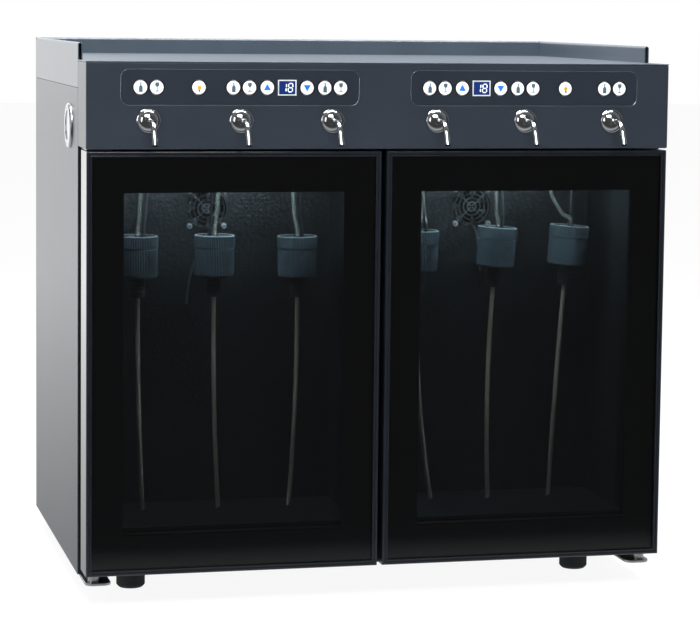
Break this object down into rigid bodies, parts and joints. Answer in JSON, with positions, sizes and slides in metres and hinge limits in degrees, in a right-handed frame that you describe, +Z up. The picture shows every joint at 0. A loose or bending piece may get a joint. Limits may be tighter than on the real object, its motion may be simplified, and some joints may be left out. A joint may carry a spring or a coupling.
{
  "type": "wine preservation dispenser",
  "caption": "Countertop wine preservation dispenser: two cooled glass-doored chambers under a head of pouring spouts and push buttons, with a railed top.",
  "frame": {"origin": "on the surface that the feet stand on, below the middle of the whole object's bounding box", "axes": "+Z up, +X to the right as seen from the front, the front with the doors and spouts faces -Y"},
  "size_m": [0.653, 0.51, 0.6065],
  "materials": {
    "powder_coat": "satin fine-textured powder coat, near-black with a blue cast",
    "panel_plastic": "satin moulded inset panel",
    "chrome": "polished chrome plating",
    "zinc": "bright zinc plating",
    "board": "solder-masked circuit board with switches and displays",
    "liner": "stucco-embossed dark coated sheet",
    "foam": "rigid polyurethane foam",
    "black_plastic": "moulded black plastic",
    "fan_plastic": "moulded black fan plastic",
    "aluminium": "extruded aluminium",
    "valve_metal": "machined stainless steel",
    "psu": "perforated aluminium case",
    "light": "translucent diffuser",
    "cap_plastic": "finely ribbed dark slate plastic",
    "dip_tube": "translucent food-grade tube",
    "hose": "clear silver-looking wine hose and grey gas hose",
    "lead": "silver-grey sensor lead",
    "glass": "tinted double glazing with a black printed border",
    "gasket": "soft magnetic door gasket",
    "button": "white button with a printed pictogram",
    "foot": "ribbed black levelling foot"
  },
  "bodies": {
    "cabinet": {"base_pan": "powder_coat", "side_panels": "powder_coat", "rear_panel": "powder_coat", "top_cover": "powder_coat", "front_frame": "liner", "fascia": "powder_coat", "control_panels": "panel_plastic", "control_boards": "board", "pour_spouts": "chrome", "left_chamber_liner": "liner", "right_chamber_liner": "liner", "insulation": "foam", "hinge_brackets": "zinc", "port_cover": "aluminium", "fan_guards": "zinc", "fan_housings": "fan_plastic", "cooling_units": "aluminium", "valve_block": "valve_metal", "power_supply": "psu", "rear_connectors": "black_plastic", "light_strips": "light", "hose_glands": "black_plastic", "bottle_caps": "cap_plastic", "dip_tubes": "dip_tube", "hoses": "hose", "probe_leads": "lead", "screws": "zinc"},
    "left_door": {"left_door_frame": "powder_coat", "left_door_glass": "glass", "left_door_inner_frame": "black_plastic", "left_door_gasket": "gasket"},
    "right_door": {"right_door_frame": "powder_coat", "right_door_glass": "glass", "right_door_inner_frame": "black_plastic", "right_door_gasket": "gasket"},
    "left_bottle_button_1": {"left_bottle_button_1": "button"},
    "left_glass_button_1": {"left_glass_button_1": "button"},
    "left_bottle_button_2": {"left_bottle_button_2": "button"},
    "left_glass_button_2": {"left_glass_button_2": "button"},
    "left_bottle_button_3": {"left_bottle_button_3": "button"},
    "left_glass_button_3": {"left_glass_button_3": "button"},
    "left_up_button": {"left_up_button": "button"},
    "left_down_button": {"left_down_button": "button"},
    "left_light_button": {"left_light_button": "button"},
    "right_bottle_button_1": {"right_bottle_button_1": "button"},
    "right_glass_button_1": {"right_glass_button_1": "button"},
    "right_bottle_button_2": {"right_bottle_button_2": "button"},
    "right_glass_button_2": {"right_glass_button_2": "button"},
    "right_bottle_button_3": {"right_bottle_button_3": "button"},
    "right_glass_button_3": {"right_glass_button_3": "button"},
    "right_up_button": {"right_up_button": "button"},
    "right_down_button": {"right_down_button": "button"},
    "right_light_button": {"right_light_button": "button"},
    "front_left_foot": {"front_left_foot": "foot"},
    "front_right_foot": {"front_right_foot": "foot"},
    "rear_left_foot": {"rear_left_foot": "foot"},
    "rear_right_foot": {"rear_right_foot": "foot"},
    "left_fan_rotor": {"left_fan_rotor": "fan_plastic"},
    "right_fan_rotor": {"right_fan_rotor": "fan_plastic"},
    "exhaust_fan_rotor": {"exhaust_fan_rotor": "fan_plastic"}
  },
  "joints": [
    {"name": "left_door_hinge", "type": "hinge", "parent": "cabinet", "child": "left_door", "pos_m": [-0.3109, -0.17822, 0.0359], "axis": [0, 0, -1], "range_deg": [0, 110]},
    {"name": "right_door_hinge", "type": "hinge", "parent": "cabinet", "child": "right_door", "pos_m": [0.3139, -0.17822, 0.0359], "axis": [0, 0, 1], "range_deg": [0, 110]},
    {"name": "left_bottle_button_1_press", "type": "slide", "parent": "cabinet", "child": "left_bottle_button_1", "axis": [0, 1, 0], "range_m": [0, 0.0008], "stiffness_N_per_m": 1500, "springref_m": -0.0004},
    {"name": "left_glass_button_1_press", "type": "slide", "parent": "cabinet", "child": "left_glass_button_1", "axis": [0, 1, 0], "range_m": [0, 0.0008], "stiffness_N_per_m": 1500, "springref_m": -0.0004},
    {"name": "left_bottle_button_2_press", "type": "slide", "parent": "cabinet", "child": "left_bottle_button_2", "axis": [0, 1, 0], "range_m": [0, 0.0008], "stiffness_N_per_m": 1500, "springref_m": -0.0004},
    {"name": "left_glass_button_2_press", "type": "slide", "parent": "cabinet", "child": "left_glass_button_2", "axis": [0, 1, 0], "range_m": [0, 0.0008], "stiffness_N_per_m": 1500, "springref_m": -0.0004},
    {"name": "left_bottle_button_3_press", "type": "slide", "parent": "cabinet", "child": "left_bottle_button_3", "axis": [0, 1, 0], "range_m": [0, 0.0008], "stiffness_N_per_m": 1500, "springref_m": -0.0004},
    {"name": "left_glass_button_3_press", "type": "slide", "parent": "cabinet", "child": "left_glass_button_3", "axis": [0, 1, 0], "range_m": [0, 0.0008], "stiffness_N_per_m": 1500, "springref_m": -0.0004},
    {"name": "left_up_button_press", "type": "slide", "parent": "cabinet", "child": "left_up_button", "axis": [0, 1, 0], "range_m": [0, 0.0008], "stiffness_N_per_m": 1500, "springref_m": -0.0004},
    {"name": "left_down_button_press", "type": "slide", "parent": "cabinet", "child": "left_down_button", "axis": [0, 1, 0], "range_m": [0, 0.0008], "stiffness_N_per_m": 1500, "springref_m": -0.0004},
    {"name": "left_light_button_press", "type": "slide", "parent": "cabinet", "child": "left_light_button", "axis": [0, 1, 0], "range_m": [0, 0.0008], "stiffness_N_per_m": 1500, "springref_m": -0.0004},
    {"name": "right_bottle_button_1_press", "type": "slide", "parent": "cabinet", "child": "right_bottle_button_1", "axis": [0, 1, 0], "range_m": [0, 0.0008], "stiffness_N_per_m": 1500, "springref_m": -0.0004},
    {"name": "right_glass_button_1_press", "type": "slide", "parent": "cabinet", "child": "right_glass_button_1", "axis": [0, 1, 0], "range_m": [0, 0.0008], "stiffness_N_per_m": 1500, "springref_m": -0.0004},
    {"name": "right_bottle_button_2_press", "type": "slide", "parent": "cabinet", "child": "right_bottle_button_2", "axis": [0, 1, 0], "range_m": [0, 0.0008], "stiffness_N_per_m": 1500, "springref_m": -0.0004},
    {"name": "right_glass_button_2_press", "type": "slide", "parent": "cabinet", "child": "right_glass_button_2", "axis": [0, 1, 0], "range_m": [0, 0.0008], "stiffness_N_per_m": 1500, "springref_m": -0.0004},
    {"name": "right_bottle_button_3_press", "type": "slide", "parent": "cabinet", "child": "right_bottle_button_3", "axis": [0, 1, 0], "range_m": [0, 0.0008], "stiffness_N_per_m": 1500, "springref_m": -0.0004},
    {"name": "right_glass_button_3_press", "type": "slide", "parent": "cabinet", "child": "right_glass_button_3", "axis": [0, 1, 0], "range_m": [0, 0.0008], "stiffness_N_per_m": 1500, "springref_m": -0.0004},
    {"name": "right_up_button_press", "type": "slide", "parent": "cabinet", "child": "right_up_button", "axis": [0, 1, 0], "range_m": [0, 0.0008], "stiffness_N_per_m": 1500, "springref_m": -0.0004},
    {"name": "right_down_button_press", "type": "slide", "parent": "cabinet", "child": "right_down_button", "axis": [0, 1, 0], "range_m": [0, 0.0008], "stiffness_N_per_m": 1500, "springref_m": -0.0004},
    {"name": "right_light_button_press", "type": "slide", "parent": "cabinet", "child": "right_light_button", "axis": [0, 1, 0], "range_m": [0, 0.0008], "stiffness_N_per_m": 1500, "springref_m": -0.0004},
    {"name": "front_left_foot_height", "type": "slide", "parent": "cabinet", "child": "front_left_foot", "axis": [0, 0, -1], "range_m": [0, 0.008]},
    {"name": "front_right_foot_height", "type": "slide", "parent": "cabinet", "child": "front_right_foot", "axis": [0, 0, -1], "range_m": [0, 0.008]},
    {"name": "rear_left_foot_height", "type": "slide", "parent": "cabinet", "child": "rear_left_foot", "axis": [0, 0, -1], "range_m": [0, 0.008]},
    {"name": "rear_right_foot_height", "type": "slide", "parent": "cabinet", "child": "rear_right_foot", "axis": [0, 0, -1], "range_m": [0, 0.008]},
    {"name": "left_fan_rotor_spin", "type": "hinge", "parent": "cabinet", "child": "left_fan_rotor", "pos_m": [-0.157, -0.00172, 0.415], "axis": [0, -1, 0], "continuous": true},
    {"name": "right_fan_rotor_spin", "type": "hinge", "parent": "cabinet", "child": "right_fan_rotor", "pos_m": [0.16, -0.00172, 0.415], "axis": [0, -1, 0], "continuous": true},
    {"name": "exhaust_fan_rotor_spin", "type": "hinge", "parent": "cabinet", "child": "exhaust_fan_rotor", "pos_m": [0.0015, 0.24878, 0.33], "axis": [0, -1, 0], "continuous": true}
  ]
}
